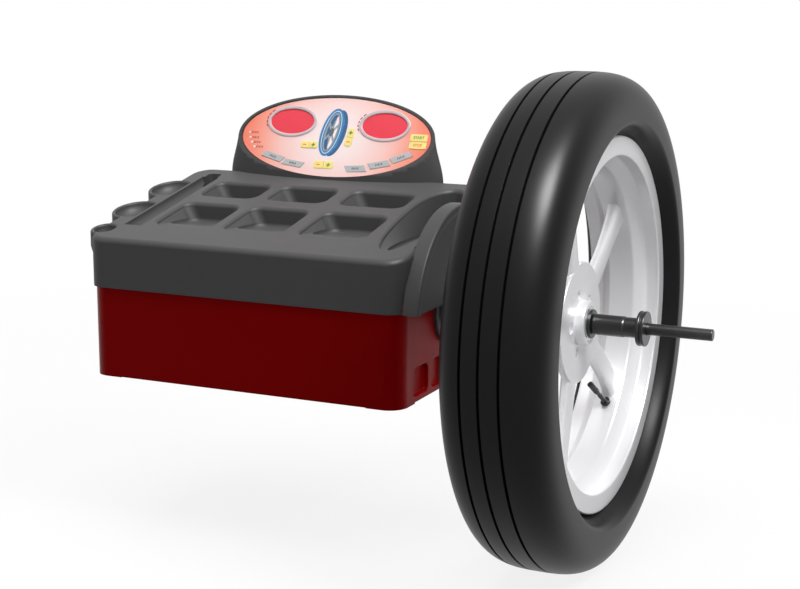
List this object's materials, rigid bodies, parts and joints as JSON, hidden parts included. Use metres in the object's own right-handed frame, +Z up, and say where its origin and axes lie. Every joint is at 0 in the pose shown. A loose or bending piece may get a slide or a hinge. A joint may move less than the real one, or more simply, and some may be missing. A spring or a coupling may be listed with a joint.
{
  "type": "motorcycle wheel balancer",
  "caption": "Bench balancer for motorcycle wheels: steel cabinet, moulded weights tray, tilted console and a side spindle with a wheel clamped between cones.",
  "frame": {"origin": "middle of the cabinet's underside, on the bench face", "axes": "+X along the spindle towards the wheel, +Y from the operator towards the back, +Z up"},
  "size_m": [0.8074, 0.6014, 0.6014],
  "materials": {
    "red_paint": "gloss powder coat",
    "grey_plastic": "fine texture",
    "panel_print": "satin print",
    "display_lens": "clear tinted",
    "bezel_plastic": "satin",
    "yellow_key": "satin",
    "grey_key": "satin",
    "lamp_lens": "clear",
    "circuit_board": "solder mask",
    "black_plastic": "satin",
    "zinc_steel": "zinc plated",
    "bearing_steel": "ground",
    "black_steel": "black oxide",
    "cast_frame": "as cast",
    "aluminium": "polished",
    "motor_paint": "satin",
    "transformer_core": "varnished",
    "belt_rubber": "matt",
    "tyre_rubber": "matt"
  },
  "bodies": {
    "cabinet": {"base_pan": "red_paint", "cabinet_shell": "red_paint", "tray_cover": "grey_plastic", "console_panel": "panel_print", "display_window_left": "display_lens", "display_window_right": "display_lens", "display_bezel_left": "bezel_plastic", "display_bezel_right": "bezel_plastic", "lamp_strip": "lamp_lens", "control_board": "circuit_board", "bearing_housing": "cast_frame", "spindle_seal_ring": "black_plastic", "support_frame": "cast_frame", "drive_belt": "belt_rubber", "drive_motor": "motor_paint", "encoder_reader": "black_plastic", "mains_inlet": "black_plastic", "mains_transformer": "transformer_core", "rear_bearing_outer_ring": "bearing_steel", "rear_leaf_flexure": "zinc_steel", "rear_force_sensor": "bearing_steel", "front_bearing_outer_ring": "bearing_steel", "front_leaf_flexure": "zinc_steel", "front_force_sensor": "bearing_steel"},
    "spindle_set": {"spindle": "black_steel", "spindle_pulley": "aluminium", "encoder_disc": "black_plastic", "rear_bearing_inner_ring": "bearing_steel", "front_bearing_inner_ring": "bearing_steel", "inner_cone": "black_steel", "wheel_rim": "aluminium", "wheel_bearing_inner": "bearing_steel", "wheel_bearing_outer": "bearing_steel", "tyre": "tyre_rubber", "tyre_valve": "black_steel"},
    "clamp_set": {"outer_cone": "black_steel", "clamp_sleeve": "black_steel"},
    "nut": {"clamp_nut": "black_steel"},
    "rear_balls": {"rear_bearing_ball_cage": "bearing_steel"},
    "front_balls": {"front_bearing_ball_cage": "bearing_steel"},
    "motor_rotor": {"motor_pulley": "aluminium", "motor_shaft": "bearing_steel"},
    "rocker": {"power_rocker": "black_plastic"},
    "mode_key_left": {"mode_key_left": "grey_key"},
    "mode_key_right": {"mode_key_right": "grey_key"},
    "function_key_left": {"function_key_left": "grey_key"},
    "function_key_middle": {"function_key_middle": "grey_key"},
    "function_key_right": {"function_key_right": "grey_key"},
    "start_key": {"start_key": "yellow_key"},
    "stop_key": {"stop_key": "yellow_key"},
    "inner_minus_key": {"inner_minus_key": "yellow_key"},
    "inner_plus_key": {"inner_plus_key": "yellow_key"},
    "outer_plus_key": {"outer_plus_key": "yellow_key"},
    "outer_minus_key": {"outer_minus_key": "yellow_key"},
    "width_minus_key": {"width_minus_key": "yellow_key"},
    "width_plus_key": {"width_plus_key": "yellow_key"}
  },
  "joints": [
    {"name": "spindle_spin", "type": "hinge", "parent": "cabinet", "child": "spindle_set", "pos_m": [0, 0, 0.099], "axis": [1, 0, 0], "continuous": true},
    {"name": "rear_balls_spin", "type": "hinge", "parent": "cabinet", "child": "rear_balls", "pos_m": [0.062, 0, 0.099], "axis": [1, 0, 0], "continuous": true},
    {"name": "front_balls_spin", "type": "hinge", "parent": "cabinet", "child": "front_balls", "pos_m": [0.18, 0, 0.099], "axis": [1, 0, 0], "continuous": true},
    {"name": "motor_spin", "type": "hinge", "parent": "cabinet", "child": "motor_rotor", "pos_m": [0.024, 0.092, 0.058], "axis": [1, 0, 0], "continuous": true},
    {"name": "clamp_slide", "type": "slide", "parent": "spindle_set", "child": "clamp_set", "axis": [1, 0, 0], "range_m": [0, 0.04]},
    {"name": "nut_turn", "type": "hinge", "parent": "clamp_set", "child": "nut", "pos_m": [0.475, 0, 0.099], "axis": [1, 0, 0], "range_deg": [0, 3600]},
    {"name": "power_rock", "type": "hinge", "parent": "cabinet", "child": "rocker", "pos_m": [-0.15, 0.1393, 0.056], "axis": [1, 0, 0], "range_deg": [0, 14]},
    {"name": "mode_key_left_press", "type": "slide", "parent": "cabinet", "child": "mode_key_left", "axis": [0, 0.9063, -0.4226], "range_m": [0, 0.0005], "stiffness_N_per_m": 800},
    {"name": "mode_key_right_press", "type": "slide", "parent": "cabinet", "child": "mode_key_right", "axis": [0, 0.9063, -0.4226], "range_m": [0, 0.0005], "stiffness_N_per_m": 800},
    {"name": "function_key_left_press", "type": "slide", "parent": "cabinet", "child": "function_key_left", "axis": [0, 0.9063, -0.4226], "range_m": [0, 0.0005], "stiffness_N_per_m": 800},
    {"name": "function_key_middle_press", "type": "slide", "parent": "cabinet", "child": "function_key_middle", "axis": [0, 0.9063, -0.4226], "range_m": [0, 0.0005], "stiffness_N_per_m": 800},
    {"name": "function_key_right_press", "type": "slide", "parent": "cabinet", "child": "function_key_right", "axis": [0, 0.9063, -0.4226], "range_m": [0, 0.0005], "stiffness_N_per_m": 800},
    {"name": "start_key_press", "type": "slide", "parent": "cabinet", "child": "start_key", "axis": [0, 0.9063, -0.4226], "range_m": [0, 0.0005], "stiffness_N_per_m": 800},
    {"name": "stop_key_press", "type": "slide", "parent": "cabinet", "child": "stop_key", "axis": [0, 0.9063, -0.4226], "range_m": [0, 0.0005], "stiffness_N_per_m": 800},
    {"name": "inner_minus_key_press", "type": "slide", "parent": "cabinet", "child": "inner_minus_key", "axis": [0, 0.9063, -0.4226], "range_m": [0, 0.0005], "stiffness_N_per_m": 800},
    {"name": "inner_plus_key_press", "type": "slide", "parent": "cabinet", "child": "inner_plus_key", "axis": [0, 0.9063, -0.4226], "range_m": [0, 0.0005], "stiffness_N_per_m": 800},
    {"name": "outer_plus_key_press", "type": "slide", "parent": "cabinet", "child": "outer_plus_key", "axis": [0, 0.9063, -0.4226], "range_m": [0, 0.0005], "stiffness_N_per_m": 800},
    {"name": "outer_minus_key_press", "type": "slide", "parent": "cabinet", "child": "outer_minus_key", "axis": [0, 0.9063, -0.4226], "range_m": [0, 0.0005], "stiffness_N_per_m": 800},
    {"name": "width_minus_key_press", "type": "slide", "parent": "cabinet", "child": "width_minus_key", "axis": [0, 0.9063, -0.4226], "range_m": [0, 0.0005], "stiffness_N_per_m": 800},
    {"name": "width_plus_key_press", "type": "slide", "parent": "cabinet", "child": "width_plus_key", "axis": [0, 0.9063, -0.4226], "range_m": [0, 0.0005], "stiffness_N_per_m": 800}
  ],
  "couplings": [
    {"joint": "rear_balls_spin", "follows": "spindle_spin", "ratio": 0.4261},
    {"joint": "front_balls_spin", "follows": "spindle_spin", "ratio": 0.4261},
    {"joint": "motor_spin", "follows": "spindle_spin", "ratio": 3.1429},
    {"joint": "nut_turn", "follows": "clamp_slide", "rad_per_m": 1570.8}
  ]
}
